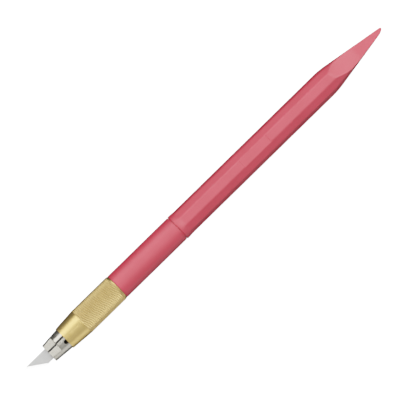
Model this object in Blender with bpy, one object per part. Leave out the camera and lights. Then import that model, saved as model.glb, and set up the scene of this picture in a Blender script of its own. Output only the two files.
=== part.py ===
"""Hobby craft knife, one solid for each piece.

A flat art blade is held by a four-jaw collet. A brass collar screws onto a threaded ferrule and squeezes
the jaws. The ferrule is fixed in a round plastic grip barrel, and the ten-sided rear handle plugs into the
barrel's other end and is drawn out into a thin burnishing tail.

The knife lies along X on its collar and rim, with the blade tip at -X. Places along the knife are written
as distances from the blade tip, in millimetres; `along` turns them into metres from the middle.
"""

import math

import bmesh
import bpy

MM = 0.001

# Whole knife
LENGTH = 155.0
AXIS_HEIGHT = 4.6
CHUCK_TURN = -8.0              # degrees about +X: how the collet and blade sit against the handle
FIT = 0.05                     # radial clearance between nested pieces
ROUND_SIDES = 24               # flat sides round each turned piece
SHARP_ANGLE = 30.0             # degrees between faces that meet in a crisp edge
CUTTER_REACH = 8.0             # how far cutters reach sideways, past the knife's skin
CUTTER_OVERRUN = 1.0           # and past the end or face they start from

# Blade
BLADE_WIDTH = 4.0
BLADE_THICKNESS = 0.45
BLADE_LENGTH = 33.0
BLADE_EDGE_RUN = 5.7           # length of knife taken up by the slanted cutting edge
BLADE_BEVEL = 0.9              # ground width, square to the cutting edge
BLADE_TAIL_CHAMFER = 1.0

# Collet
COLLET_FRONT = 9.6
COLLET_NOSE_R = 3.25
COLLET_NOSE_CHAMFER = 0.2
HEAD_REAR = 18.0
HEAD_TAPER = 0.0765            # radius gained for each millimetre towards the rear
NECK_START = 19.1
SHANK_R = 2.8
COLLET_REAR = 42.4
SLIT_END = 34.5
BLADE_SLOT = 0.55
CROSS_SLIT = 0.6
FLAT_END = 13.2
FLAT_HEIGHT = 2.3              # milled flats, measured from the axis
DIMPLE_AT = 15.9
DIMPLE_R = 0.82
DIMPLE_DEPTH = 2.0
DIMPLE_ANGLE = 29.0            # degrees from the blade's upper face towards its cutting edge
DIMPLE_SIDES = 16

# Collar
COLLAR_FRONT = 16.2
COLLAR_MOUTH_R = 4.05
COLLAR_LIP = 0.15
CONE_END = 23.5
CONE_END_R = 4.56
KNURL_R = 4.6
KNURL_END = 38.65
COLLAR_REAR = 39.1
COLLAR_RIM_R = 4.5
JAW_CONE_END = 18.4
COLLAR_THREAD_START = 31.5

# Thread between the collar and the ferrule
PITCH = 0.75
THREAD_WAVE = 0.2              # half the thread depth
THREAD_GAP = 0.12              # radial gap between the two threads
MALE_MID_R = 3.75
THREAD_LEAD = 0.3              # plain length before the first turn
THREAD_RUN_OUT = 0.2           # sloping length behind the last one
ROWS_PER_PITCH = 4

# Ferrule
FERRULE_FRONT = 30.0
FERRULE_THREAD_END = 38.5
FERRULE_BODY_R = 3.4
FERRULE_GROOVE_R = 3.1
FERRULE_GROOVES = (43.5, 47.0)
FERRULE_GROOVE_WIDTH = 1.0
FERRULE_NOSE_CHAMFER = 0.1
FERRULE_REAR = 51.0
SOCKET_FLOOR = 42.5
FERRULE_THROAT_R = 2.2

# Grip barrel
GRIP_FRONT = 39.2
GRIP_REAR = 65.2
GRIP_R = 4.47
GRIP_EDGE = 0.15
FERRULE_POCKET_END = 51.2
GRIP_CORE_R = 2.9
SPIGOT_POCKET = 54.8
SPIGOT_POCKET_R = 3.3

# Rear handle
SPIGOT_FRONT = 55.1
SPIGOT_CHAMFER = 0.3
SHOULDER_R = 4.2               # low step that closes the seam behind the barrel
RIM_FRONT = 65.45
RIM_EDGE = 0.15
RIM_END = 66.3
BLEND_END = 68.4               # round rim becomes ten-sided by here
BLEND_STEPS = 4
FACETS = 10
ACROSS_FLATS = 8.64
CORNER_RADIUS = 1.2
PANEL_START = 93.4
PANEL_LENGTH = 11.6
PANEL_DEPTH = 0.1
CORE_R = 2.2
CORE_END = 124.5

# Burnishing tail
TAPER_START = 131.5
TAPER_BLEND = 2.4              # half length over which the sides turn in
TAPER_STEPS = 3
TAPER_SLOPE = 0.165
TAIL_TURN = -8.0               # degrees about +X: how the tail's flat faces sit against the facets
SCOOP_START = 132.9
SCOOP_END = 144.0
SCOOP_POWER = 1.35
SCOOP_STEPS = 10
SCOOP_LEAD_IN = 0.5            # rise of the scoop's cutter in front of its start, for each millimetre
TAIL_HALF_THICKNESS = 0.85     # where the scoop levels out
TIP_HALF_THICKNESS = 0.6
TIP_APEX_OFFSET = 0.25
TIP_UPPER_ROUND = 0.6          # length of the rounding on the +Y side of the tip
TIP_LOWER_ROUND = 2.2          # and on the -Y side
TIP_STEPS = 8

APOTHEM = ACROSS_FLATS / 2
CORNER_DISTANCE = (APOTHEM - CORNER_RADIUS) / math.cos(math.pi / FACETS)
CORNER_R = CORNER_DISTANCE + CORNER_RADIUS


def along(distance):
    """Metres along X from the knife's middle, for a distance in millimetres from the blade tip."""
    return (distance - LENGTH / 2) * MM


def clear_scene():
    for obj in list(bpy.data.objects):
        bpy.data.objects.remove(obj, do_unlink=True)


def material(name, colour, roughness, metallic):
    mat = bpy.data.materials.new(name)
    mat.use_nodes = True
    shader = mat.node_tree.nodes["Principled BSDF"]
    shader.inputs["Base Color"].default_value = (*colour, 1.0)
    shader.inputs["Roughness"].default_value = roughness
    shader.inputs["Metallic"].default_value = metallic
    return mat


def place(name, bm, axis, turn=0.0, mat=None):
    """Turn a bmesh into a named object whose origin lies on the knife's axis."""
    bmesh.ops.recalc_face_normals(bm, faces=bm.faces)
    mesh = bpy.data.meshes.new(name)
    bm.to_mesh(mesh)
    bm.free()
    mesh.shade_smooth()
    mesh.set_sharp_from_angle(angle=math.radians(SHARP_ANGLE))
    obj = bpy.data.objects.new(name, mesh)
    bpy.context.collection.objects.link(obj)
    obj.parent = axis
    obj.rotation_euler.x = math.radians(turn)
    if mat:
        mesh.materials.append(mat)
    return obj


def boolean(target, cutter, operation="DIFFERENCE"):
    """Keep a Boolean modifier on the target, and hide its cutter."""
    cutter.hide_render = True
    cutter.display_type = "WIRE"
    modifier = target.modifiers.new(cutter.name, "BOOLEAN")
    modifier.operation = operation
    modifier.solver = "EXACT"
    modifier.object = cutter


def skin(rings, hollow=False):
    """Join rings of points with quads. A hollow shape closes on its first ring; a solid one is capped."""
    bm = bmesh.new()
    loops = [[bm.verts.new(point) for point in ring] for ring in rings]
    count = len(loops[0])
    pairs = list(zip(loops, loops[1:]))
    if hollow:
        pairs.append((loops[-1], loops[0]))
    else:
        bm.faces.new(loops[0])
        bm.faces.new(loops[-1])
    for first, second in pairs:
        for i in range(count):
            j = (i + 1) % count
            bm.faces.new((first[i], first[j], second[j], second[i]))
    return bm


def round_ring(distance, radius):
    """One turned cross-section. Its flat sides, not its corners, lie at the radius."""
    ring = []
    for i in range(ROUND_SIDES):
        angle = 2 * math.pi * (i + 0.5) / ROUND_SIDES
        r = radius(distance, angle) if callable(radius) else radius
        r *= MM / math.cos(math.pi / ROUND_SIDES)
        ring.append((along(distance), r * math.cos(angle), r * math.sin(angle)))
    return ring


def turned(profile, hollow=False):
    return skin([round_ring(distance, radius) for distance, radius in profile], hollow)


def box(name, axis, low, high, turn=0.0):
    """Box cutter between two corners, given as (distance, y, z) in millimetres."""
    bm = bmesh.new()
    bmesh.ops.create_cube(bm, size=1.0)
    for vert in bm.verts:
        share = [c + 0.5 for c in vert.co]
        at = [a + (b - a) * s for a, b, s in zip(low, high, share)]
        vert.co = (along(at[0]), at[1] * MM, at[2] * MM)
    return place(name, bm, axis, turn)


def thread_profile(start, end, mid_radius, crest_side):
    """Rows of a helical thread. crest_side is +1 for a male thread and -1 for a female one.

    The thread fades into its root over one pitch at each end.
    """
    root = mid_radius - crest_side * THREAD_WAVE

    def radius(distance, angle):
        wave = math.sin(2 * math.pi * distance / PITCH - angle)
        fade = min(1.0, (distance - start) / PITCH, (end - distance) / PITCH)
        return root + crest_side * THREAD_WAVE * (1 + crest_side * wave) * max(fade, 0.0)

    rows = round((end - start) / PITCH * ROWS_PER_PITCH)
    return [(start + (end - start) * i / rows, radius) for i in range(rows + 1)]


def make_blade(axis, mat):
    """Flat strip with a slanted edge ground from both faces to a line."""
    half = BLADE_WIDTH / 2
    edge_angle = math.atan2(BLADE_WIDTH, BLADE_EDGE_RUN)
    set_back = BLADE_BEVEL / math.sin(edge_angle)
    face = [
        (set_back, half),
        (BLADE_EDGE_RUN + set_back, -half),
        (BLADE_LENGTH - BLADE_TAIL_CHAMFER, -half),
        (BLADE_LENGTH, -half + BLADE_TAIL_CHAMFER),
        (BLADE_LENGTH, half),
    ]
    bm = bmesh.new()

    def corner(distance, y, z):
        return bm.verts.new((along(distance), y * MM, z * MM))

    tip = corner(0.0, half, 0.0)
    heel = corner(BLADE_EDGE_RUN, -half, 0.0)
    top = [corner(d, y, BLADE_THICKNESS / 2) for d, y in face]
    bottom = [corner(d, y, -BLADE_THICKNESS / 2) for d, y in face]
    bm.faces.new(top)
    bm.faces.new(bottom)
    for side in (top, bottom):
        bm.faces.new((tip, heel, side[1], side[0]))
    bm.faces.new((heel, top[1], bottom[1]))
    bm.faces.new((tip, top[0], bottom[0]))
    for i in range(1, len(face)):
        j = (i + 1) % len(face)
        bm.faces.new((top[i], top[j], bottom[j], bottom[i]))
    return place("blade", bm, axis, CHUCK_TURN, mat)


def head_radius(distance):
    return COLLET_NOSE_R + HEAD_TAPER * (distance - COLLET_FRONT)


def make_collet(axis, mat):
    """Tapered head and slim shank, sawn crosswise into four jaws from the front."""
    profile = [
        (COLLET_FRONT, COLLET_NOSE_R - COLLET_NOSE_CHAMFER),
        (COLLET_FRONT + COLLET_NOSE_CHAMFER, head_radius(COLLET_FRONT + COLLET_NOSE_CHAMFER)),
        (HEAD_REAR, head_radius(HEAD_REAR)),
        (NECK_START, SHANK_R),
        (COLLET_REAR - COLLET_NOSE_CHAMFER, SHANK_R),
        (COLLET_REAR, SHANK_R - COLLET_NOSE_CHAMFER),
    ]
    collet = place("collet", turned(profile), axis, CHUCK_TURN, mat)
    reach = CUTTER_REACH
    start = COLLET_FRONT - CUTTER_OVERRUN
    slot = (start, -reach, -BLADE_SLOT / 2), (SLIT_END, reach, BLADE_SLOT / 2)
    slit = (start, -CROSS_SLIT / 2, -reach), (SLIT_END, CROSS_SLIT / 2, reach)
    upper_flat = (start, -reach, FLAT_HEIGHT), (FLAT_END, reach, reach)
    lower_flat = (start, -reach, -reach), (FLAT_END, reach, -FLAT_HEIGHT)
    cuts = {"blade_slot": slot, "cross_slit": slit, "upper_flat": upper_flat, "lower_flat": lower_flat}
    for name, (low, high) in cuts.items():
        boolean(collet, box(name, axis, low, high, CHUCK_TURN))
    boolean(collet, dimple_cutter(axis))
    return collet


def dimple_cutter(axis):
    """Drill standing square to one jaw of the collet."""
    surface = head_radius(DIMPLE_AT)
    bm = bmesh.new()
    bmesh.ops.create_cone(
        bm,
        cap_ends=True,
        segments=DIMPLE_SIDES,
        radius1=DIMPLE_R * MM,
        radius2=DIMPLE_R * MM,
        depth=2 * DIMPLE_DEPTH * MM,
    )
    for vert in bm.verts:
        vert.co.x += along(DIMPLE_AT)
        vert.co.z += surface * MM
    return place("jaw_dimple", bm, axis, CHUCK_TURN + DIMPLE_ANGLE)


def make_collar(axis, mat):
    """Knurled cap nut: a cone inside its mouth for the jaws, and a female thread at its rear."""
    female_mid = MALE_MID_R + THREAD_GAP
    female_root = female_mid + THREAD_WAVE
    thread_end = COLLAR_REAR - THREAD_LEAD
    bore_r = head_radius(JAW_CONE_END) + FIT
    outside = [
        (COLLAR_FRONT, COLLAR_MOUTH_R - COLLAR_LIP / 2),
        (COLLAR_FRONT + COLLAR_LIP, COLLAR_MOUTH_R),
        (CONE_END, CONE_END_R),
        (CONE_END, KNURL_R),
        (KNURL_END, KNURL_R),
        (KNURL_END, COLLAR_RIM_R),
        (COLLAR_REAR, COLLAR_RIM_R),
    ]
    inside = [
        (COLLAR_FRONT, head_radius(COLLAR_FRONT) + FIT),
        (JAW_CONE_END, bore_r),
        (COLLAR_THREAD_START - THREAD_RUN_OUT, bore_r),
        *thread_profile(COLLAR_THREAD_START, thread_end, female_mid, -1),
        (COLLAR_REAR, female_root),
    ]
    return place("collar", turned(outside + inside[::-1], hollow=True), axis, 0.0, mat)


def make_ferrule(axis, mat):
    """Threaded nose, grooved tail that locks in the barrel, and a stepped bore for the collet's shank."""
    outside = [
        (FERRULE_FRONT, MALE_MID_R - THREAD_WAVE - FERRULE_NOSE_CHAMFER),
        *thread_profile(FERRULE_FRONT + THREAD_LEAD, FERRULE_THREAD_END, MALE_MID_R, 1),
        (FERRULE_THREAD_END + THREAD_RUN_OUT, FERRULE_BODY_R),
    ]
    for front in FERRULE_GROOVES:
        rear = front + FERRULE_GROOVE_WIDTH
        outside += [(front, FERRULE_BODY_R), (front, FERRULE_GROOVE_R)]
        outside += [(rear, FERRULE_GROOVE_R), (rear, FERRULE_BODY_R)]
    outside.append((FERRULE_REAR, FERRULE_BODY_R))
    inside = [
        (FERRULE_FRONT, SHANK_R + FIT),
        (SOCKET_FLOOR, SHANK_R + FIT),
        (SOCKET_FLOOR, FERRULE_THROAT_R),
        (FERRULE_REAR, FERRULE_THROAT_R),
    ]
    return place("ferrule", turned(outside + inside[::-1], hollow=True), axis, 0.0, mat)


def make_grip_barrel(axis, mat):
    """Plain round barrel, with a pocket for the ferrule in front and one for the spigot behind."""
    outside = [
        (GRIP_FRONT, GRIP_R - GRIP_EDGE),
        (GRIP_FRONT + GRIP_EDGE, GRIP_R),
        (GRIP_REAR - GRIP_EDGE, GRIP_R),
        (GRIP_REAR, GRIP_R - GRIP_EDGE),
    ]
    pocket_r = FERRULE_BODY_R + FIT
    inside = [
        (GRIP_FRONT, pocket_r),
        (FERRULE_POCKET_END, pocket_r),
        (FERRULE_POCKET_END, GRIP_CORE_R),
        (SPIGOT_POCKET, GRIP_CORE_R),
        (SPIGOT_POCKET, SPIGOT_POCKET_R),
        (GRIP_REAR, SPIGOT_POCKET_R),
    ]
    return place("grip_barrel", turned(outside + inside[::-1], hollow=True), axis, 0.0, mat)


def facet_angles():
    """Angles round a ten-sided section: four along each flat, and one on each corner."""
    half = math.pi / FACETS
    tangent = math.atan((APOTHEM - CORNER_RADIUS) * math.tan(half) / APOTHEM)
    angles = []
    for k in range(FACETS):
        middle = math.pi / 2 + 2 * half * k
        angles += [middle + share * tangent for share in (-1, -1 / 3, 1 / 3, 1)]
        angles.append(middle + half)
    return angles, tangent / 3


def faceted_radius(angle):
    """Distance from the axis to the rounded ten-sided outline, in millimetres."""
    sector = 2 * math.pi / FACETS
    off = abs((angle - math.pi / 2 + sector / 2) % sector - sector / 2)
    flat = APOTHEM / math.cos(off)
    from_corner = sector / 2 - off
    reach = CORNER_RADIUS**2 - (CORNER_DISTANCE * math.sin(from_corner))**2
    if off <= math.atan((APOTHEM - CORNER_RADIUS) * math.tan(sector / 2) / APOTHEM) or reach <= 0:
        return flat
    return CORNER_DISTANCE * math.cos(from_corner) + math.sqrt(reach)


def eased(share):
    """Smooth step from 0 to 1."""
    share = min(max(share, 0.0), 1.0)
    return share * share * (3 - 2 * share)


def taper_half_width(distance):
    """Half width of the tail in plan, with a soft turn-in where the taper starts."""
    past = distance - TAPER_START
    if past <= -TAPER_BLEND:
        return CORNER_R
    if past >= TAPER_BLEND:
        return CORNER_R - TAPER_SLOPE * past
    return CORNER_R - TAPER_SLOPE * (past + TAPER_BLEND)**2 / (4 * TAPER_BLEND)


def rounded_side(distance, length):
    """Share of the side's width left at a distance inside the tip's rounding of the given length."""
    into = max(distance - (LENGTH - length), 0.0) / length
    return math.sqrt(max(1.0 - into * into, 0.0))


def tail_plan(distance):
    """Middle and half width of the tail in plan. The tip's apex lies towards +Y."""
    half = taper_half_width(distance)
    upper = TIP_APEX_OFFSET + (half - TIP_APEX_OFFSET) * rounded_side(distance, TIP_UPPER_ROUND)
    lower = TIP_APEX_OFFSET - (half + TIP_APEX_OFFSET) * rounded_side(distance, TIP_LOWER_ROUND)
    return (upper + lower) / 2, (upper - lower) / 2


def faceted_ring(distance, roundness=0.0, round_radius=KNURL_R):
    """Section of the rear handle. Roundness 1 is a circle, 0 the ten-sided outline."""
    angles, first_offset = facet_angles()
    middle, half = tail_plan(distance) if distance > TAPER_START - TAPER_BLEND else (0.0, CORNER_R)
    ring = []
    for angle in angles:
        circle = round_radius / math.cos(first_offset)
        r = roundness * circle + (1 - roundness) * faceted_radius(angle)
        y = middle + r * math.cos(angle) * half / CORNER_R
        ring.append((along(distance), y * MM, r * math.sin(angle) * MM))
    return ring


def scoop_height(distance):
    """Height of the tail's upper face above the axis."""
    if distance <= SCOOP_START:
        return APOTHEM + (SCOOP_START - distance) * SCOOP_LEAD_IN
    run = min((distance - SCOOP_START) / (SCOOP_END - SCOOP_START), 1.0)
    if run < 1.0:
        return TAIL_HALF_THICKNESS + (APOTHEM - TAIL_HALF_THICKNESS) * (1 - run)**SCOOP_POWER
    share = (distance - SCOOP_END) / (LENGTH - SCOOP_END)
    return TAIL_HALF_THICKNESS + (TIP_HALF_THICKNESS - TAIL_HALF_THICKNESS) * share


def scoop_cutter(name, axis, side):
    """Block whose underside follows the scoop; side is +1 above the axis and -1 below."""
    run = SCOOP_END - SCOOP_START
    front = SCOOP_START - CUTTER_OVERRUN
    rear = LENGTH + CUTTER_OVERRUN
    places = [front, *(SCOOP_START + run * i / SCOOP_STEPS for i in range(SCOOP_STEPS + 1)), rear]
    outline = [(d, side * scoop_height(d)) for d in places]
    outline += [(rear, side * CUTTER_REACH), (front, side * CUTTER_REACH)]
    rings = [[(along(d), y * MM, z * MM) for d, z in outline] for y in (-CUTTER_REACH, CUTTER_REACH)]
    return place(name, skin(rings), axis, TAIL_TURN)


def make_rear_handle(axis, mat):
    """Spigot, round rim, ten-sided handle and tapering tail in one moulding, hollow from the front."""
    spigot_r = SPIGOT_POCKET_R - FIT
    shoulder = GRIP_REAR + FIT
    rings = [
        faceted_ring(SPIGOT_FRONT, 1.0, spigot_r - SPIGOT_CHAMFER),
        faceted_ring(SPIGOT_FRONT + SPIGOT_CHAMFER, 1.0, spigot_r),
        faceted_ring(shoulder, 1.0, spigot_r),
        faceted_ring(shoulder, 1.0, SHOULDER_R),
        faceted_ring(RIM_FRONT, 1.0, SHOULDER_R),
        faceted_ring(RIM_FRONT, 1.0, KNURL_R - RIM_EDGE),
        faceted_ring(RIM_FRONT + RIM_EDGE, 1.0),
        faceted_ring(RIM_END, 1.0),
    ]
    for i in range(1, BLEND_STEPS + 1):
        share = i / BLEND_STEPS
        rings.append(faceted_ring(RIM_END + (BLEND_END - RIM_END) * share, 1.0 - eased(share)))
    stations = [TAPER_START + TAPER_BLEND * (2 * i / TAPER_STEPS - 1) for i in range(TAPER_STEPS + 1)]
    quarter = math.pi / 2
    for i in range(TIP_STEPS):
        stations.append(LENGTH - TIP_LOWER_ROUND * (1 - math.sin(quarter * i / TIP_STEPS)))
    rings += [faceted_ring(distance) for distance in stations]
    handle = place("rear_handle", skin(rings), axis, 0.0, mat)
    boolean(handle, scoop_cutter("upper_scoop", axis, 1))
    boolean(handle, scoop_cutter("lower_scoop", axis, -1))
    core = place("core", turned([(SPIGOT_FRONT - CUTTER_OVERRUN, CORE_R), (CORE_END, CORE_R)]), axis)
    boolean(handle, core)
    low = (PANEL_START, -CUTTER_REACH, APOTHEM - PANEL_DEPTH)
    high = (PANEL_START + PANEL_LENGTH, CUTTER_REACH, APOTHEM + CUTTER_OVERRUN)
    boolean(handle, box("name_panel", axis, low, high))
    return handle


def main():
    clear_scene()
    axis = bpy.data.objects.new("knife_axis", None)
    axis.location.z = AXIS_HEIGHT * MM
    bpy.context.collection.objects.link(axis)
    steel = material("blade_steel", (0.60, 0.60, 0.59), 0.30, 1.0)
    nickel = material("nickel", (0.62, 0.60, 0.56), 0.25, 1.0)
    brass = material("brass", (0.72, 0.52, 0.22), 0.28, 1.0)
    ferrule_brass = material("ferrule_brass", (0.60, 0.45, 0.22), 0.40, 1.0)
    rose = material("rose_plastic", (0.50, 0.10, 0.14), 0.35, 0.0)
    make_blade(axis, steel)
    make_collet(axis, nickel)
    make_collar(axis, brass)
    make_ferrule(axis, ferrule_brass)
    make_grip_barrel(axis, rose)
    make_rear_handle(axis, rose)


main()
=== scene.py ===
"""Looks of the hobby craft knife: finely modelled pieces, materials, light and camera round the CAD frame.

Places along the knife are distances from the blade tip, and all sizes are in millimetres; `metres` puts
points into the frame. Angles round the knife start at +Y and turn towards +Z.
"""

import math

import bmesh
import bpy
import numpy as np
from mathutils import Matrix, Vector


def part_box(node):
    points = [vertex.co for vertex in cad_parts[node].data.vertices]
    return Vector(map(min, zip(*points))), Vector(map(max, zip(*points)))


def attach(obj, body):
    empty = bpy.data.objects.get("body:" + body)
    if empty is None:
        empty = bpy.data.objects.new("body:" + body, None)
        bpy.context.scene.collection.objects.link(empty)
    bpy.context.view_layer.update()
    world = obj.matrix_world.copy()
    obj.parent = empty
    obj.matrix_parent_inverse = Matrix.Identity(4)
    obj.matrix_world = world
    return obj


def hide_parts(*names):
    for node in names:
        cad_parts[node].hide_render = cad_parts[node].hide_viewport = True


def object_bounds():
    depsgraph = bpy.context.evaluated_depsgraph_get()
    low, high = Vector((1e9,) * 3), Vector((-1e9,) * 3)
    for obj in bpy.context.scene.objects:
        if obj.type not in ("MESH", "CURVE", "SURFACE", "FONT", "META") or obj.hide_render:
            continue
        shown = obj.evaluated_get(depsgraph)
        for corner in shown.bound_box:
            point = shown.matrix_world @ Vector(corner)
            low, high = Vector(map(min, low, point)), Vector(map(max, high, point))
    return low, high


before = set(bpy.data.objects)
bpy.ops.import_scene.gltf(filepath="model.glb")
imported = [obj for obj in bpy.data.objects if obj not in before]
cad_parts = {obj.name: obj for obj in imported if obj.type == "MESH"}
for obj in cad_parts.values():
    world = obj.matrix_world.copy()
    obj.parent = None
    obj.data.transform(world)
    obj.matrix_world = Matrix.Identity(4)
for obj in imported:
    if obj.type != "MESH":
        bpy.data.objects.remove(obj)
CAD_LOW, CAD_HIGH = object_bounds()

MM = 0.001
TIP_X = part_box("blade")[0].x
AXIS_Z = (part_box("collar")[0].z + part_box("collar")[1].z) / 2


def span(node):
    """Where a CAD node starts and ends, as distances from the blade tip."""
    low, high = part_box(node)
    return (low.x - TIP_X) / MM, (high.x - TIP_X) / MM


# Stations of the pieces, read from the frame
BLADE_REAR = span("blade")[1]
COLLET_FRONT, COLLET_REAR = span("collet")
COLLAR_FRONT, COLLAR_REAR = span("collar")
FERRULE_FRONT, FERRULE_REAR = span("ferrule")
GRIP_FRONT, GRIP_REAR = span("grip_barrel")
SPIGOT_FRONT, LENGTH = span("rear_handle")

CHUCK_TURN = -8.0              # degrees about +X: how the collet and blade sit against the handle
FIT = 0.05

# Blade
BLADE_WIDTH = 4.0
BLADE_THICKNESS = 0.45
BLADE_EDGE_RUN = 5.7
BLADE_BEVEL = 0.9              # ground width, square to the cutting edge
BEVEL_LINE = 0.03              # half the width over which the bevel turns into the flat
BLADE_TAIL_CHAMFER = 1.0

# Collet
NOSE_R = 3.25
NOSE_ROUND = 0.14
HEAD_TAPER = 0.0765
HEAD_REAR = COLLET_FRONT + 8.4
NECK_START = COLLET_FRONT + 9.5
SHANK_R = 2.8
SLIT_END = BLADE_REAR + 1.5
BLADE_SLOT = 0.55
CROSS_SLIT = 0.6
FLAT_END = COLLET_FRONT + 3.6
FLAT_HEIGHT = 2.3
FLAT_FILLET = 0.3
FLAT_SOFTNESS = 0.05           # of the edges beside the flats
NO_FLAT = 99.0                 # a height beyond reach, where the head is left round
LEAST_SINE = 0.05              # keeps the flats finite beside the blade
JAW_EDGE = 0.06
JAW_POINTS = 90
JAW_EDGE_POINTS = 1.2          # points over which a sawn edge is eased
JAW_WALL_START = 0.93          # share of a sawn wall where its first inner row lies
JAW_WALL_ROWS = 8
SHANK_CHAMFER = 0.25
DIMPLE_AT = COLLAR_FRONT - 0.3
DIMPLE_R = 0.82
DIMPLE_DEPTH = 2.0
DIMPLE_ANGLE = math.radians(119)
DIMPLE_LIP = 0.12
DIMPLE_MARGIN = 0.1
PAINTED_SHADE_START = FLAT_HEIGHT - 0.45 # inside this radius the plate is painted near-black as shade down in the slits, outside the next it has its plain colour
PAINTED_SHADE_END = FLAT_HEIGHT - 0.1

# Collar
MOUTH_R = 4.05
MOUTH_LIP = 0.2
COLLAR_ROUND = 0.12
COLLAR_STEP = 0.08
CONE_END = COLLAR_FRONT + 7.3
CONE_END_R = 4.56
KNURL_R = 4.6
KNURL_END = COLLAR_REAR - 0.45
KNURL_FADE_IN = 0.35
KNURL_FADE_OUT = 0.3
RIM_R = 4.5
RIM_WALL = 0.3
KNURL_STARTS = 46              # ridges in each direction round the collar
KNURL_LEAD = 0.6               # spacing of the ridges along the knife
KNURL_DEPTH = 0.18
KNURL_SECOND = 0.42            # depth of the second family of grooves, as a share of the first
KNURL_SLOPE = 0.72             # share of the spacing taken up by the flanks of a groove
JAW_CONE_END = COLLAR_FRONT + 2.2
COLLAR_THREAD_START = COLLAR_FRONT + 15.3

# Thread
PITCH = 0.75
THREAD_WAVE = 0.2
THREAD_GAP = 0.12
THREAD_FLANK = 1.35            # above 1 the crests and roots are flat
THREAD_RUNOUT = 0.3
MALE_MID_R = 3.75

# Ferrule
FERRULE_THREAD_END = FERRULE_FRONT + 8.5
FERRULE_BODY_R = 3.4
FERRULE_GROOVE_R = 3.1
SOCKET_FLOOR = FERRULE_FRONT + 12.5
FERRULE_THROAT_R = 2.2

# Grip barrel
GRIP_R = 4.47
GRIP_ROUND = 0.16
GRIP_CORE_R = 2.9
SPIGOT_POCKET_R = 3.3

# Rear handle
RIM_FRONT = GRIP_REAR + 0.25
SHOULDER_R = 4.2               # low step that closes the seam behind the barrel
RIM_ROUND = 0.16
BLEND_START = RIM_FRONT + 0.45
BLEND_END = RIM_FRONT + 2.95
FACETS = 10
APOTHEM = 4.32
CORNER_RADIUS = 1.2
PANEL_START = BLEND_END + 25.0
PANEL_END = PANEL_START + 11.6
PANEL_DEPTH = 0.1
CORE_R = 2.2
CORE_END = LENGTH - 30.5

# Burnishing tail
TAPER_START = LENGTH - 23.5
TAPER_BLEND = 2.4
TAPER_SLOPE = 0.165
TAIL_TURN = math.radians(-8)    # how the tail's flat faces sit against the facets, about +X
SCOOP_START = LENGTH - 22.1
SCOOP_END = LENGTH - 11.0
SCOOP_POWER = 1.35
SCOOP_EDGE = 0.28              # softness of the edge round the scooped face
TAIL_HALF_THICKNESS = 0.85
TIP_HALF_THICKNESS = 0.6
TIP_APEX_OFFSET = 0.25
TIP_UPPER_ROUND = 0.6
TIP_LOWER_ROUND = 2.2
TIP_NOSE = 0.5

CORNER_DISTANCE = (APOTHEM - CORNER_RADIUS) / math.cos(math.pi / FACETS)
CORNER_R = CORNER_DISTANCE + CORNER_RADIUS


# ---------------------------------------------------------------- mesh helpers

def metres(points, turn=0.0):
    """Points given as (distance, y, z) in millimetres round the axis, as frame coordinates."""
    points = np.asarray(points, float).reshape(-1, 3)
    c, s = math.cos(math.radians(turn)), math.sin(math.radians(turn))
    x = TIP_X + points[:, 0] * MM
    y = (points[:, 1] * c - points[:, 2] * s) * MM
    z = (points[:, 1] * s + points[:, 2] * c) * MM + AXIS_Z
    return np.stack([x, y, z], 1)


def skinned(rings, hollow=False):
    """Vertices and faces over rings[row, point]. A hollow skin closes on its first ring, else it has caps."""
    rows, count, _ = rings.shape
    verts = [rings.reshape(-1, 3)]
    last = rows if hollow else rows - 1
    row = np.repeat(np.arange(last), count)
    point = np.tile(np.arange(count), last)
    beside = (point + 1) % count
    ahead = (row + 1) % rows
    near = (row * count + point, row * count + beside)
    far = (ahead * count + point, ahead * count + beside)
    faces = [np.stack([near[0], far[0], far[1], near[1]], 1)]
    if not hollow:
        start, end = rows * count, rows * count + 1
        verts.append(np.stack([rings[0].mean(0), rings[-1].mean(0)]))
        i = np.arange(count)
        j = (i + 1) % count
        tail = (rows - 1) * count
        faces.append(np.stack([np.full(count, start), i, j], 1))
        faces.append(np.stack([np.full(count, end), tail + j, tail + i], 1))
    return np.concatenate(verts), [face for group in faces for face in group.tolist()]


def joined(parts):
    """Several bodies as one list of vertices and one of faces."""
    verts, faces, offset = [], [], 0
    for part_verts, part_faces in parts:
        verts.append(part_verts)
        faces += [[index + offset for index in face] for face in part_faces]
        offset += len(part_verts)
    return np.concatenate(verts), faces


def piece(name, body, node, mat, verts, faces, turn=0.0, sharp=40.0):
    """A finished piece that stands for a CAD node and rides on its body."""
    mesh = bpy.data.meshes.new(name)
    mesh.from_pydata(metres(verts, turn).tolist(), [], faces)
    mesh.update()
    outward(mesh)
    mesh.shade_smooth()
    mesh.set_sharp_from_angle(angle=math.radians(sharp))
    mesh.materials.append(mat)
    obj = bpy.data.objects.new(name, mesh)
    bpy.context.collection.objects.link(obj)
    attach(obj, body)
    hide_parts(node)
    return obj


def outward(mesh):
    """Turn every face outwards."""
    bm = bmesh.new()
    bm.from_mesh(mesh)
    bmesh.ops.recalc_face_normals(bm, faces=bm.faces)
    bm.to_mesh(mesh)
    bm.free()


def circle(count):
    return 2 * math.pi * np.arange(count) / count


def rounded_profile(points, radius, steps=5):
    """A turned profile of (distance, radius) points with each inner corner rounded."""
    out = [points[0]]
    for before, corner, after in zip(points, points[1:], points[2:]):
        corner = np.array(corner, float)
        to_before = np.array(before) - corner
        to_after = np.array(after) - corner
        reach = min(radius, np.linalg.norm(to_before) / 2.2, np.linalg.norm(to_after) / 2.2)
        start = corner + to_before / np.linalg.norm(to_before) * reach
        end = corner + to_after / np.linalg.norm(to_after) * reach
        for i in range(steps + 1):
            t = i / steps
            out.append(tuple((1 - t)**2 * start + 2 * t * (1 - t) * corner + t * t * end))
    out.append(points[-1])
    return out


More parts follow.
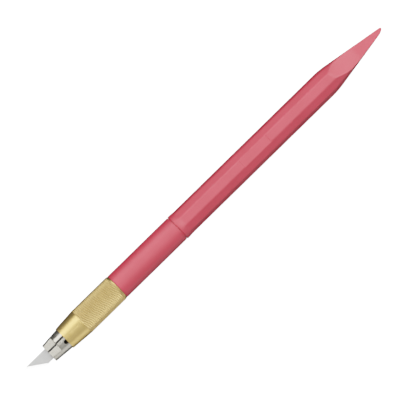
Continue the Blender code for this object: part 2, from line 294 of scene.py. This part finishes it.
def refined(profile, step):
    """The profile with extra points, so that no stretch is longer than the step."""
    out = [profile[0]]
    for a, b in zip(profile, profile[1:]):
        pieces = max(1, math.ceil(math.hypot(b[0] - a[0], b[1] - a[1]) / step))
        for i in range(1, pieces + 1):
            out.append((a[0] + (b[0] - a[0]) * i / pieces, a[1] + (b[1] - a[1]) * i / pieces))
    return out


def lathe(profile, sides, relief=None):
    """Rings of a turned profile. relief(distance, angle) is added to the radius."""
    angle = circle(sides)[None, :]
    distance = np.array([p[0] for p in profile])[:, None]
    radius = np.array([p[1] for p in profile])[:, None] + np.zeros_like(angle)
    if relief is not None:
        radius = radius + relief(distance, angle)
    return np.stack([distance + np.zeros_like(angle), radius * np.cos(angle), radius * np.sin(angle)], 2)


def smooth_step(value, start, end):
    share = np.clip((value - start) / (end - start), 0.0, 1.0)
    return share * share * (3 - 2 * share)


def smooth_min(a, b, softness):
    share = np.clip(0.5 + 0.5 * (b - a) / softness, 0.0, 1.0)
    return b * (1 - share) + a * share - softness * share * (1 - share)


# ---------------------------------------------------------------- node helpers

class Nodes:
    """Short-hand for building one material's node tree."""

    def __init__(self, name):
        self.mat = bpy.data.materials.new(name)
        self.mat.use_nodes = True
        self.tree = self.mat.node_tree
        self.shader = self.tree.nodes["Principled BSDF"]
        coords = self.tree.nodes.new("ShaderNodeTexCoord")
        self.place = coords.outputs["Object"]

    def set(self, **values):
        for name, value in values.items():
            self.shader.inputs[name.replace("_", " ")].default_value = value

    def link(self, output, target):
        self.tree.links.new(output, self.shader.inputs[target] if isinstance(target, str) else target)

    def stretched(self, scale):
        """Object coordinates multiplied by a scale for each axis."""
        mapping = self.tree.nodes.new("ShaderNodeMapping")
        mapping.inputs["Scale"].default_value = scale
        self.tree.links.new(self.place, mapping.inputs["Vector"])
        return mapping.outputs["Vector"]

    def noise(self, scale, detail=2.0, roughness=0.5):
        """Noise whose features are one over the scale in metres; a scale of three numbers stretches it."""
        node = self.tree.nodes.new("ShaderNodeTexNoise")
        node.inputs["Detail"].default_value = detail
        node.inputs["Roughness"].default_value = roughness
        node.inputs["Scale"].default_value = 1.0
        scale = scale if isinstance(scale, tuple) else (scale, scale, scale)
        self.tree.links.new(self.stretched(scale), node.inputs["Vector"])
        return node.outputs["Fac"]

    def ranged(self, value, low, high, start=0.3, end=0.7):
        node = self.tree.nodes.new("ShaderNodeMapRange")
        node.inputs["From Min"].default_value = start
        node.inputs["From Max"].default_value = end
        node.inputs["To Min"].default_value = low
        node.inputs["To Max"].default_value = high
        self.tree.links.new(value, node.inputs["Value"])
        return node.outputs["Result"]

    def beyond(self, point, direction):
        """Distance in metres from a point, measured along a direction."""
        offset = self.tree.nodes.new("ShaderNodeVectorMath")
        offset.operation = "SUBTRACT"
        offset.inputs[1].default_value = point
        self.tree.links.new(self.place, offset.inputs[0])
        along = self.tree.nodes.new("ShaderNodeVectorMath")
        along.operation = "DOT_PRODUCT"
        along.inputs[1].default_value = direction
        self.tree.links.new(offset.outputs["Vector"], along.inputs[0])
        return along.outputs["Value"]

    def from_axis(self):
        """Distance in metres from the knife's axis."""
        offset = self.tree.nodes.new("ShaderNodeVectorMath")
        offset.operation = "SUBTRACT"
        offset.inputs[1].default_value = (0.0, 0.0, AXIS_Z)
        self.tree.links.new(self.place, offset.inputs[0])
        across = self.tree.nodes.new("ShaderNodeVectorMath")
        across.operation = "MULTIPLY"
        across.inputs[1].default_value = (0.0, 1.0, 1.0)
        self.tree.links.new(offset.outputs["Vector"], across.inputs[0])
        size = self.tree.nodes.new("ShaderNodeVectorMath")
        size.operation = "LENGTH"
        self.tree.links.new(across.outputs["Vector"], size.inputs[0])
        return size.outputs["Value"]

    def blend(self, factor, first, second):
        node = self.tree.nodes.new("ShaderNodeMix")
        node.data_type = "RGBA"
        self.tree.links.new(factor, node.inputs["Factor"])
        for colour, socket in ((first, node.inputs[6]), (second, node.inputs[7])):
            if isinstance(colour, tuple):
                socket.default_value = (*colour, 1.0)
            else:
                self.tree.links.new(colour, socket)
        return node.outputs[2]

    def bump(self, height, strength, distance):
        node = self.tree.nodes.new("ShaderNodeBump")
        node.inputs["Strength"].default_value = strength
        node.inputs["Distance"].default_value = distance
        self.tree.links.new(height, node.inputs["Height"])
        previous = self.shader.inputs["Normal"].links
        if previous:
            self.tree.links.new(previous[0].from_socket, node.inputs["Normal"])
        self.tree.links.new(node.outputs["Normal"], self.shader.inputs["Normal"])


def rose_plastic():
    """Satin rose-red moulding: faint cloudiness, a fine grain and a few rub marks along the knife."""
    n = Nodes("rose_plastic_look")
    cloud = n.ranged(n.noise(140.0), 0.0, 1.0)
    n.link(n.blend(cloud, (0.59, 0.010, 0.036), (0.63, 0.015, 0.044)), "Base Color")
    rubs = n.noise((300.0, 9000.0, 9000.0), 3.0)
    n.link(n.ranged(rubs, 0.46, 0.53), "Roughness")
    n.set(IOR=1.70)
    n.bump(n.noise(6000.0, 3.0), 0.12, 0.00002)
    return n.mat


def polished_brass():
    """Pale brass, polished on the cone with fine turning lines, duller and darker on the knurl."""
    n = Nodes("brass_look")
    patches = n.ranged(n.noise(500.0), 0.0, 1.0)
    polished = n.blend(patches, (0.77, 0.525, 0.165), (0.82, 0.570, 0.195))
    cut = n.blend(patches, (0.51, 0.350, 0.127), (0.575, 0.400, 0.150))
    start = metres((CONE_END, 0.0, 0.0))[0]
    on_knurl = n.ranged(n.beyond(start, (1.0, 0.0, 0.0)), 0.0, 1.0, -0.2 * MM, 0.2 * MM)
    n.link(n.blend(on_knurl, polished, cut), "Base Color")
    lines = n.noise((16000.0, 40.0, 40.0), 2.0)
    n.link(n.ranged(lines, 0.32, 0.42), "Roughness")
    n.set(Metallic=1.0)
    n.bump(lines, 0.25, 0.000006)
    return n.mat


def satin_nickel():
    """Warm grey nickel plate over turned and milled brass, painted near-black close to the axis as shade down
    in the slits.
    """
    n = Nodes("nickel_look")
    patches = n.ranged(n.noise(700.0), 0.0, 1.0)
    plate = n.blend(patches, (0.49, 0.465, 0.395), (0.54, 0.520, 0.455))
    # painted shade: close to the axis the plate colour drops to near-black, standing for the shade in the
    # slits
    outside = n.ranged(n.from_axis(), 0.0, 1.0, PAINTED_SHADE_START * MM, PAINTED_SHADE_END * MM)
    n.link(n.blend(outside, (0.05, 0.040, 0.028), plate), "Base Color")
    lines = n.noise((14000.0, 60.0, 60.0), 2.0)
    n.link(n.ranged(lines, 0.20, 0.32), "Roughness")
    n.set(Metallic=1.0)
    n.bump(lines, 0.2, 0.000006)
    return n.mat


def turned_brass():
    """Plain machined brass of the hidden ferrule."""
    n = Nodes("ferrule_look")
    patches = n.ranged(n.noise(900.0), 0.0, 1.0)
    n.link(n.blend(patches, (0.55, 0.40, 0.19), (0.62, 0.47, 0.24)), "Base Color")
    n.link(n.ranged(n.noise((12000.0, 80.0, 80.0)), 0.30, 0.45), "Roughness")
    n.set(Metallic=1.0)
    return n.mat


def ground_steel():
    """Blade steel: a dull flat with fine scratches, and a smoother, brighter ground bevel."""
    n = Nodes("blade_look")
    c, s = math.cos(math.radians(CHUCK_TURN)), math.sin(math.radians(CHUCK_TURN))
    length = math.hypot(BLADE_WIDTH, BLADE_EDGE_RUN)
    tip = metres((0.0, BLADE_WIDTH / 2, 0.0), CHUCK_TURN)[0]
    inwards = (BLADE_WIDTH / length, BLADE_EDGE_RUN / length * c, BLADE_EDGE_RUN / length * s)
    bevel_start, bevel_end = (BLADE_BEVEL - BEVEL_LINE) * MM, (BLADE_BEVEL + BEVEL_LINE) * MM
    on_flat = n.ranged(n.beyond(tip, inwards), 0.0, 1.0, bevel_start, bevel_end)
    patches = n.ranged(n.noise(800.0), 0.0, 1.0)
    flat = n.blend(patches, (0.45, 0.450, 0.440), (0.49, 0.490, 0.480))
    n.link(n.blend(on_flat, (0.90, 0.900, 0.890), flat), "Base Color")
    scratches = n.noise((9000.0, 700.0, 9000.0), 3.0)
    n.link(n.blend(on_flat, (0.16, 0.16, 0.16), n.ranged(scratches, 0.32, 0.44)), "Roughness")
    n.set(Metallic=1.0)
    n.bump(scratches, 0.15, 0.000004)
    return n.mat


# ---------------------------------------------------------------- pieces

def make_blade():
    """Flat strip with a slanted edge ground from both faces, and one corner cut off its tail."""
    half = BLADE_WIDTH / 2
    set_back = BLADE_BEVEL / math.sin(math.atan2(BLADE_WIDTH, BLADE_EDGE_RUN))
    face = [
        (set_back, half),
        (BLADE_EDGE_RUN + set_back, -half),
        (BLADE_REAR - BLADE_TAIL_CHAMFER, -half),
        (BLADE_REAR, -half + BLADE_TAIL_CHAMFER),
        (BLADE_REAR, half),
    ]
    verts = [(0.0, half, 0.0), (BLADE_EDGE_RUN, -half, 0.0)]
    verts += [(d, y, BLADE_THICKNESS / 2) for d, y in face]
    verts += [(d, y, -BLADE_THICKNESS / 2) for d, y in face]
    tip, heel = 0, 1
    top = [2 + i for i in range(len(face))]
    bottom = [2 + len(face) + i for i in range(len(face))]
    faces = [top, bottom[::-1]]
    faces += [(tip, heel, side[1], side[0]) for side in (top, bottom)]
    faces += [(heel, top[1], bottom[1]), (tip, top[0], bottom[0])]
    for i in range(1, len(face)):
        j = (i + 1) % len(face)
        faces.append((top[i], top[j], bottom[j], bottom[i]))
    verts = np.array(verts)
    return piece("art_blade", "cutter", "blade", ground_steel(), verts, faces, CHUCK_TURN, 5.0)


def head_radius(distance):
    return NOSE_R + HEAD_TAPER * (distance - COLLET_FRONT)


def jaw_outside(distance, angle):
    """Radius of the collet's outside: taper, rounded nose, milled flats and the drilled dimple."""
    drop = (distance - HEAD_REAR) / (NECK_START - HEAD_REAR)
    neck = head_radius(HEAD_REAR) + (SHANK_R - head_radius(HEAD_REAR)) * np.clip(drop, 0, 1)
    radius = np.where(distance < HEAD_REAR, head_radius(distance), neck)
    into = np.clip(COLLET_FRONT + NOSE_ROUND - distance, 0.0, NOSE_ROUND)
    radius = radius - NOSE_ROUND + np.sqrt(NOSE_ROUND**2 - into**2)
    past = np.clip(distance - (FLAT_END - FLAT_FILLET), 0.0, FLAT_FILLET)
    flat = FLAT_HEIGHT + FLAT_FILLET - np.sqrt(np.maximum(FLAT_FILLET**2 - past**2, 0.0))
    flat = np.where(distance >= FLAT_END, NO_FLAT, flat)
    radius = smooth_min(radius, flat / np.maximum(np.abs(np.sin(angle)), LEAST_SINE), FLAT_SOFTNESS)
    across = radius * (angle - DIMPLE_ANGLE)
    away = np.sqrt(across**2 + (distance - DIMPLE_AT)**2)
    return radius - DIMPLE_DEPTH * smooth_step(-away, -DIMPLE_R, -DIMPLE_R + DIMPLE_LIP)


def jaw(quadrant):
    """One jaw between two slits, with its sawn edges eased."""
    rows = np.unique(np.round(np.concatenate([
        COLLET_FRONT + NOSE_ROUND * (1 - np.cos(np.linspace(0, math.pi / 2, 9))),
        np.linspace(COLLET_FRONT + NOSE_ROUND, FLAT_END - FLAT_FILLET, 16),
        np.linspace(FLAT_END - FLAT_FILLET, FLAT_END - 0.001, 14),
        np.linspace(FLAT_END, DIMPLE_AT - DIMPLE_R - DIMPLE_MARGIN, 12),
        np.linspace(DIMPLE_AT - DIMPLE_R - DIMPLE_MARGIN, DIMPLE_AT + DIMPLE_R + DIMPLE_MARGIN, 44),
        np.linspace(DIMPLE_AT + DIMPLE_R + DIMPLE_MARGIN, NECK_START, 16),
        np.linspace(NECK_START, SLIT_END + 0.5, 24),
    ]), 4))
    distance = rows[:, None]
    into = np.clip(COLLET_FRONT + JAW_EDGE - distance, 0.0, JAW_EDGE)
    edge = JAW_EDGE - np.sqrt(JAW_EDGE**2 - into**2)
    wall_y = CROSS_SLIT / 2 + edge
    wall_z = BLADE_SLOT / 2 + edge
    side_y, side_z = quadrant
    rough = head_radius(distance)
    low = np.arcsin(wall_z / rough)
    high = np.arccos(wall_y / rough)
    share = np.linspace(0, 1, JAW_POINTS)[None, :]
    angle = low + (high - low) * share
    true_angle = np.arctan2(side_z * np.sin(angle), side_y * np.cos(angle))
    radius = jaw_outside(distance, true_angle)
    y = radius * np.cos(angle)
    z = radius * np.sin(angle)
    ease = JAW_EDGE * np.exp(-np.minimum(share, 1 - share) * JAW_POINTS / JAW_EDGE_POINTS)
    y = np.maximum(y - ease * np.cos(angle), wall_y)
    z = np.maximum(z - ease * np.sin(angle), wall_z)
    outer = np.stack([distance + 0 * y, side_y * y, side_z * z], 2)
    steps = np.linspace(JAW_WALL_START, 0.0, JAW_WALL_ROWS)[None, :]
    inwards_z = wall_z + (z[:, -1:] - wall_z) * steps
    outwards_y = wall_y + (y[:, :1] - wall_y) * steps[:, ::-1]
    along = distance + 0 * steps
    slit_wall = np.stack([along, side_y * (wall_y + 0 * steps), side_z * inwards_z], 2)
    slot_wall = np.stack([along, side_y * outwards_y, side_z * (wall_z + 0 * steps)], 2)
    return skinned(np.concatenate([outer, slit_wall, slot_wall[:, 1:]], 1))


def make_collet():
    """Four jaws sawn from one piece, on a plain shank."""
    jaws = [jaw((y, z)) for y in (1, -1) for z in (1, -1)]
    chamfer = (COLLET_REAR - SHANK_CHAMFER, SHANK_R), (COLLET_REAR, SHANK_R - SHANK_CHAMFER)
    shank = [(SLIT_END, SHANK_R), *chamfer]
    shank = skinned(lathe(refined(shank, 0.8), 96))
    verts, faces = joined(jaws + [shank])
    return piece("jaw_collet", "chuck", "collet", satin_nickel(), verts, faces, CHUCK_TURN, 35.0)


def triangle_wave(turns):
    """0 at whole turns and 1 halfway between them."""
    return 1 - np.abs(2 * (turns - np.floor(turns)) - 1)


def knurl(distance, angle):
    """Diamond knurl: two crossing families of helical grooves cut down from the collar's skin."""
    round_it = KNURL_STARTS * angle / (2 * math.pi)
    along_it = distance / KNURL_LEAD
    first = 1 - np.minimum(triangle_wave(along_it / 2 - round_it) / KNURL_SLOPE, 1.0)
    second = 1 - np.minimum(triangle_wave(along_it / 2 + round_it) / KNURL_SLOPE, 1.0)
    grooves = np.maximum(first, second * KNURL_SECOND)
    fade_in = smooth_step(distance, CONE_END, CONE_END + KNURL_FADE_IN)
    fade_out = smooth_step(-distance, -KNURL_END, -KNURL_END + KNURL_FADE_OUT)
    return -KNURL_DEPTH * grooves * (fade_in * fade_out)


def thread(start, end, crest_side):
    """Relief of a helical thread over its root: +1 stands out of a male root, -1 into a female bore."""
    def relief(distance, angle):
        wave = np.clip(THREAD_FLANK * np.sin(2 * math.pi * distance / PITCH - angle), -1.0, 1.0)
        fade = np.clip(np.minimum((distance - start) / PITCH, (end - distance) / PITCH), 0.0, 1.0)
        return crest_side * THREAD_WAVE * (1 + crest_side * wave) * fade
    return relief


def make_collar():
    """Knurled cap nut, polished cone in front, thread inside."""
    sides = KNURL_STARTS * 8
    outside = [
        (COLLAR_FRONT, MOUTH_R - MOUTH_LIP),
        (COLLAR_FRONT, MOUTH_R),
        (CONE_END - 0.02, CONE_END_R),
        (CONE_END + 0.02, KNURL_R),
        (KNURL_END, KNURL_R),
        (KNURL_END + 0.03, RIM_R),
        (COLLAR_REAR, RIM_R),
        (COLLAR_REAR, RIM_R - RIM_WALL),
    ]
    outer = lathe(refined(rounded_profile(outside, COLLAR_ROUND), COLLAR_STEP), sides, knurl)
    thread_end = COLLAR_REAR - THREAD_RUNOUT
    female_root = MALE_MID_R + THREAD_GAP + THREAD_WAVE
    bore_r = head_radius(JAW_CONE_END) + FIT
    inside = [
        (COLLAR_REAR, female_root),
        (COLLAR_THREAD_START, female_root),
        (COLLAR_THREAD_START - 0.2, bore_r),
        (JAW_CONE_END, bore_r),
        (COLLAR_FRONT, head_radius(COLLAR_FRONT) + FIT),
    ]
    inner = lathe(refined(inside, COLLAR_STEP), sides, thread(COLLAR_THREAD_START, thread_end, -1))
    verts, faces = skinned(np.concatenate([outer, inner]), hollow=True)
    return piece("knurled_collar", "clamp", "collar", polished_brass(), verts, faces)


def make_ferrule():
    """Threaded nose and grooved tail, with a stepped bore."""
    root = MALE_MID_R - THREAD_WAVE
    outside = [
        (FERRULE_FRONT, root - 0.1),
        (FERRULE_FRONT + 0.3, root),
        (FERRULE_THREAD_END, root),
        (FERRULE_THREAD_END + 0.2, FERRULE_BODY_R),
    ]
    for groove in (13.5, 17.0):
        at = FERRULE_FRONT + groove
        for distance, radius in ((at, FERRULE_BODY_R), (at + 0.05, FERRULE_GROOVE_R)):
            outside.append((distance, radius))
        for distance, radius in ((at + 0.95, FERRULE_GROOVE_R), (at + 1.0, FERRULE_BODY_R)):
            outside.append((distance, radius))
    outside.append((FERRULE_REAR, FERRULE_BODY_R))
    relief = thread(FERRULE_FRONT + 0.3, FERRULE_THREAD_END, 1)
    outer = lathe(refined(outside, 0.08), 144, relief)
    inside = [
        (FERRULE_REAR, FERRULE_THROAT_R),
        (SOCKET_FLOOR, FERRULE_THROAT_R),
        (SOCKET_FLOOR, SHANK_R + FIT),
        (FERRULE_FRONT, SHANK_R + FIT),
    ]
    inner = lathe(refined(inside, 0.8), 144)
    verts, faces = skinned(np.concatenate([outer, inner]), hollow=True)
    return piece("threaded_ferrule", "handle", "ferrule", turned_brass(), verts, faces)


def make_grip(mat):
    """Round barrel with softly rounded ends."""
    outside = [
        (GRIP_FRONT, GRIP_R - 0.6),
        (GRIP_FRONT, GRIP_R),
        (GRIP_REAR, GRIP_R),
        (GRIP_REAR, GRIP_R - 0.6),
    ]
    outer = lathe(refined(rounded_profile(outside, GRIP_ROUND, 8), 0.6), 240)
    pocket = FERRULE_BODY_R + FIT
    inside = [
        (GRIP_REAR, SPIGOT_POCKET_R),
        (SPIGOT_FRONT - 0.3, SPIGOT_POCKET_R),
        (SPIGOT_FRONT - 0.3, GRIP_CORE_R),
        (FERRULE_REAR + 0.2, GRIP_CORE_R),
        (FERRULE_REAR + 0.2, pocket),
        (GRIP_FRONT, pocket),
    ]
    inner = lathe(refined(inside, 1.5), 240)
    verts, faces = skinned(np.concatenate([outer, inner]), hollow=True)
    return piece("round_grip", "handle", "grip_barrel", mat, verts, faces)


def faceted_radius(angle):
    """Distance from the axis to the rounded ten-sided outline."""
    sector = 2 * math.pi / FACETS
    off = np.abs((angle - math.pi / 2 + sector / 2) % sector - sector / 2)
    tangent = math.atan((APOTHEM - CORNER_RADIUS) * math.tan(sector / 2) / APOTHEM)
    from_corner = sector / 2 - off
    reach = np.maximum(CORNER_RADIUS**2 - (CORNER_DISTANCE * np.sin(from_corner))**2, 0.0)
    corner = CORNER_DISTANCE * np.cos(from_corner) + np.sqrt(reach)
    return np.where(off <= tangent, APOTHEM / np.cos(off), corner)


def taper_half_width(distance):
    """Half width of the tail in plan, with a soft turn-in where the taper starts."""
    past = distance - TAPER_START
    blend = CORNER_R - TAPER_SLOPE * (past + TAPER_BLEND)**2 / (4 * TAPER_BLEND)
    straight = CORNER_R - TAPER_SLOPE * past
    return np.where(past <= -TAPER_BLEND, CORNER_R, np.where(past >= TAPER_BLEND, straight, blend))


def rounded_side(distance, length):
    """Share of a side's width left inside the tip's rounding of the given length."""
    into = np.maximum(distance - (LENGTH - length), 0.0) / length
    return np.sqrt(np.maximum(1.0 - into**2, 0.0))


def scoop_height(distance):
    """Height of the tail's upper face above the axis."""
    run = np.clip((distance - SCOOP_START) / (SCOOP_END - SCOOP_START), 0.0, 1.0)
    scoop = TAIL_HALF_THICKNESS + (APOTHEM - TAIL_HALF_THICKNESS) * (1 - run)**SCOOP_POWER
    share = (distance - SCOOP_END) / (LENGTH - SCOOP_END)
    slab = TAIL_HALF_THICKNESS + (TIP_HALF_THICKNESS - TAIL_HALF_THICKNESS) * share
    height = np.where(run < 1.0, scoop, slab)
    height = np.where(distance <= SCOOP_START, APOTHEM + (SCOOP_START - distance) * 0.5, height)
    return height * rounded_side(distance, TIP_NOSE)


def handle_stations():
    """Places of the rear handle's sections, close together where the shape changes."""
    tip = LENGTH - TIP_LOWER_ROUND * (1 - np.sin(np.linspace(0, math.pi / 2, 40)))
    return np.unique(np.round(np.concatenate([
        np.linspace(RIM_FRONT + RIM_ROUND, BLEND_START, 6),
        np.linspace(BLEND_START, BLEND_END, 40),
        np.linspace(BLEND_END, PANEL_START - 0.2, 30),
        np.linspace(PANEL_START - 0.2, PANEL_START + 0.2, 12),
        np.linspace(PANEL_START + 0.2, PANEL_END - 0.2, 12),
        np.linspace(PANEL_END - 0.2, PANEL_END + 0.2, 12),
        np.linspace(PANEL_END + 0.2, TAPER_START - TAPER_BLEND, 24),
        np.linspace(TAPER_START - TAPER_BLEND, LENGTH - TIP_LOWER_ROUND, 150),
        tip,
    ]), 4))


def make_rear_handle(mat):
    """Round rim blending into the ten-sided handle and its scooped, tapering tail; spigot and core inside."""
    count = 300
    angle = circle(count)[None, :]
    distance = handle_stations()[:, None]
    share = smooth_step(distance, BLEND_START, BLEND_END)
    radius = KNURL_R + (faceted_radius(angle) - KNURL_R) * share
    half = taper_half_width(distance)
    upper = TIP_APEX_OFFSET + (half - TIP_APEX_OFFSET) * rounded_side(distance, TIP_UPPER_ROUND)
    lower = TIP_APEX_OFFSET - (half + TIP_APEX_OFFSET) * rounded_side(distance, TIP_LOWER_ROUND)
    y = (upper + lower) / 2 + radius * np.cos(angle) * (upper - lower) / 2 / CORNER_R
    z = radius * np.sin(angle)
    ceiling = scoop_height(distance)
    softness = np.minimum(SCOOP_EDGE, ceiling * 0.4)
    for side in (1, -1):
        height = side * (z * math.cos(TAIL_TURN) - y * math.sin(TAIL_TURN))
        cut = smooth_min(height, ceiling, softness) - height
        z = z + side * np.where(distance > SCOOP_START - 2.0, cut, 0.0) / math.cos(TAIL_TURN)
    in_panel = smooth_step(distance, PANEL_START - 0.05, PANEL_START + 0.05)
    in_panel = in_panel * smooth_step(-distance, -PANEL_END - 0.05, -PANEL_END + 0.05)
    z = np.where(in_panel > 0, np.minimum(z, APOTHEM - PANEL_DEPTH * in_panel), z)
    body = np.stack([distance + 0 * z, y, z], 2)
    spigot_r = SPIGOT_POCKET_R - FIT
    front = [
        (SPIGOT_FRONT, CORE_R),
        (SPIGOT_FRONT, spigot_r - 0.3),
        (SPIGOT_FRONT + 0.3, spigot_r),
        (GRIP_REAR + FIT, spigot_r),
        (GRIP_REAR + FIT, SHOULDER_R),
        (RIM_FRONT, SHOULDER_R),
        (RIM_FRONT, KNURL_R - RIM_ROUND),
    ]
    for i in range(1, 7):
        turn = math.pi / 2 * i / 7
        distance_in = RIM_ROUND * (1 - math.cos(turn))
        drop = RIM_ROUND * (1 - math.sin(turn))
        front.append((RIM_FRONT + distance_in, KNURL_R - drop))
    core = [(CORE_END, 0.02), (CORE_END, CORE_R)]
    core += [(CORE_END + (SPIGOT_FRONT - CORE_END) * i / 12, CORE_R) for i in range(1, 12)]
    rings = np.concatenate([lathe(core, count), lathe(front, count), body])
    verts, faces = skinned(rings)
    return piece("faceted_handle", "handle", "rear_handle", mat, verts, faces, sharp=50.0)


# ---------------------------------------------------------------- stage, light and camera

LIGHT_DISTANCE = 1.6           # metres from the knife to each softbox
MAIN_RADIANCE = 1.55
SKY = 0.1                     # radiance of the studio all round
ROOM_BELOW = 0.04              # and of the dark below the knife
WHITE = 2.5                    # radiance that prints as white
TONE_ROLL = 1.2
TONE_POINTS = 14
FLOOR_GLOW = 2.3
FLOOR_R = 2000.0               # where the floor starts to turn up, in millimetres
FLOOR_CURVE = 900.0
WALL_TOP = 3000.0
FLOOR_SIDES = 96
FLOOR_CURVE_STEPS = 12
FRAME_WIDTH = 124.7            # millimetres seen across the picture at the knife
LENS = 400.0
SENSOR = 36.0
LEAN_TO_EDGE = 4.0             # degrees: the camera leans to the blade's cutting-edge side
LEAN_TO_TIP = 4.0              # and towards the blade tip
ROLL = 44.35                   # how far the knife is turned in the picture
OFF_CENTRE = (1.59, -0.335)    # knife's middle from the picture's middle, right and up, in millimetres


def make_camera():
    to_tip, to_edge = math.tan(math.radians(LEAN_TO_TIP)), math.tan(math.radians(LEAN_TO_EDGE))
    back = Vector((-to_tip, -to_edge, 1.0)).normalized()
    knife = Vector((1, 0, 0))
    along_view = (knife - back * knife.dot(back)).normalized()
    across_view = back.cross(along_view)
    roll = math.radians(ROLL)
    right = along_view * math.cos(roll) - across_view * math.sin(roll)
    up = along_view * math.sin(roll) + across_view * math.cos(roll)
    middle = Vector((TIP_X + LENGTH / 2 * MM, 0, AXIS_Z))
    aim = middle - right * OFF_CENTRE[0] * MM - up * OFF_CENTRE[1] * MM
    data = bpy.data.cameras.new("camera")
    data.lens = LENS
    data.sensor_width = SENSOR
    data.clip_start = 0.01
    data.clip_end = 50.0
    camera = bpy.data.objects.new("camera", data)
    bpy.context.collection.objects.link(camera)
    rotation = Matrix((right, up, back)).transposed()
    place = aim + back * FRAME_WIDTH * MM * LENS / SENSOR
    camera.matrix_world = Matrix.Translation(place) @ rotation.to_4x4()
    bpy.context.scene.camera = camera


def soft_light(name, start, end, length, radiance, lean=0.0, mirrored=True):
    """Softbox with its long side along the knife. Seen from the knife it reaches from one angle to the other.

    Angles are degrees from the camera's own direction, positive towards +Y; lean tips it towards +X.
    A mirrored softbox shows in polished surfaces only, and another lights matt colour only.
    """
    middle = math.radians((start + end) / 2 - LEAN_TO_EDGE)
    towards = Vector((math.tan(math.radians(lean)), math.sin(middle), math.cos(middle))).normalized()
    width = 2 * LIGHT_DISTANCE * math.tan(math.radians((end - start) / 2))
    data = bpy.data.lights.new(name, "AREA")
    data.shape = "RECTANGLE"
    data.size = length
    data.size_y = width
    data.energy = 4 * length * width * radiance
    light = bpy.data.objects.new(name, data)
    bpy.context.collection.objects.link(light)
    side = Vector((1, 0, 0))
    side = (side - towards * side.dot(towards)).normalized()
    rotation = Matrix((side, towards.cross(side), towards)).transposed()
    place = Vector((0, 0, AXIS_Z)) + towards * LIGHT_DISTANCE
    light.matrix_world = Matrix.Translation(place) @ rotation.to_4x4()
    light.visible_camera = False
    light.visible_glossy = mirrored
    light.visible_diffuse = not mirrored


def make_lights():
    """One broad softbox for the matt colour, and softboxes round the knife that its gloss mirrors."""
    soft_light("main_softbox", start=-23.0, end=57.0, length=4.0, radiance=MAIN_RADIANCE, mirrored=False)
    soft_light("key_strip", start=24.3, end=71.0, length=4.0, radiance=2.0 - SKY)
    soft_light("top_strip", start=-60.0, end=22.5, length=4.0, radiance=0.44 - SKY)
    soft_light("low_strip", start=-115.0, end=-68.0, length=4.0, radiance=0.85 - SKY)
    soft_light("tip_strip", start=-7.5, end=3.0, length=0.3, radiance=2.4, lean=-15.5)
    soft_light("tail_strip", start=-30.0, end=17.0, length=1.2, radiance=3.4, lean=45.0)
    world = bpy.data.worlds.new("studio")
    world.use_nodes = True
    tree = world.node_tree
    coords = tree.nodes.new("ShaderNodeTexCoord")
    split = tree.nodes.new("ShaderNodeSeparateXYZ")
    tree.links.new(coords.outputs["Generated"], split.inputs["Vector"])
    strength = tree.nodes.new("ShaderNodeMapRange")
    strength.interpolation_type = "SMOOTHSTEP"
    strength.inputs["From Min"].default_value = -0.65
    strength.inputs["From Max"].default_value = -0.15
    strength.inputs["To Min"].default_value = ROOM_BELOW
    strength.inputs["To Max"].default_value = SKY
    tree.links.new(split.outputs["Z"], strength.inputs["Value"])
    tree.links.new(strength.outputs["Result"], tree.nodes["Background"].inputs["Strength"])
    tree.nodes["Background"].inputs["Color"].default_value = (1.0, 1.0, 1.0, 1.0)
    bpy.context.scene.world = world


def film_tone(radiance):
    """How bright a radiance prints: contrasty in the shadows and flatter towards white."""
    return radiance * (1 + WHITE * TONE_ROLL) / (1 + radiance * TONE_ROLL) / WHITE


def set_tone():
    view = bpy.context.scene.view_settings
    view.view_transform = "Standard"
    view.use_curve_mapping = True
    mapping = view.curve_mapping
    mapping.white_level = (WHITE, WHITE, WHITE)
    curve = mapping.curves[3]
    for i in range(1, TONE_POINTS):
        share = (i / TONE_POINTS)**2
        curve.points.new(share, film_tone(share * WHITE))
    mapping.update()


def make_floor():
    """Wide plain pale floor, turned up into a wall far behind. It lights and mirrors in nothing."""
    floor_z = CAD_LOW.z / MM
    rows = [(floor_z, 1.0), (floor_z, FLOOR_R)]
    for i in range(1, FLOOR_CURVE_STEPS + 1):
        turn = math.pi / 2 * i / FLOOR_CURVE_STEPS
        rows.append((floor_z + FLOOR_CURVE * (1 - math.cos(turn)), FLOOR_R + FLOOR_CURVE * math.sin(turn)))
    rows.append((floor_z + WALL_TOP, FLOOR_R + FLOOR_CURVE))
    angle = circle(FLOOR_SIDES)
    rings = [np.stack([r * np.cos(angle), r * np.sin(angle), h + 0 * angle], 1) for h, r in rows]
    verts, faces = skinned(np.array(rings))
    mesh = bpy.data.meshes.new("studio_floor")
    mesh.from_pydata((verts * MM).tolist(), [], faces[:-FLOOR_SIDES])
    mesh.shade_smooth()
    mat = bpy.data.materials.new("floor_look")
    mat.use_nodes = True
    shader = mat.node_tree.nodes["Principled BSDF"]
    shader.inputs["Base Color"].default_value = (0.9, 0.9, 0.9, 1.0)
    shader.inputs["Roughness"].default_value = 0.9
    shader.inputs["Specular IOR Level"].default_value = 0.0
    shader.inputs["Emission Color"].default_value = (1.0, 1.0, 1.0, 1.0)
    shader.inputs["Emission Strength"].default_value = FLOOR_GLOW
    mesh.materials.append(mat)
    floor = bpy.data.objects.new("studio_floor", mesh)
    bpy.context.collection.objects.link(floor)
    floor.visible_diffuse = False
    floor.visible_glossy = False
    floor.visible_shadow = False


make_camera()
make_lights()
set_tone()
make_floor()
rose = rose_plastic()
make_blade()
make_collet()
make_collar()
make_ferrule()
make_grip(rose)
make_rear_handle(rose)
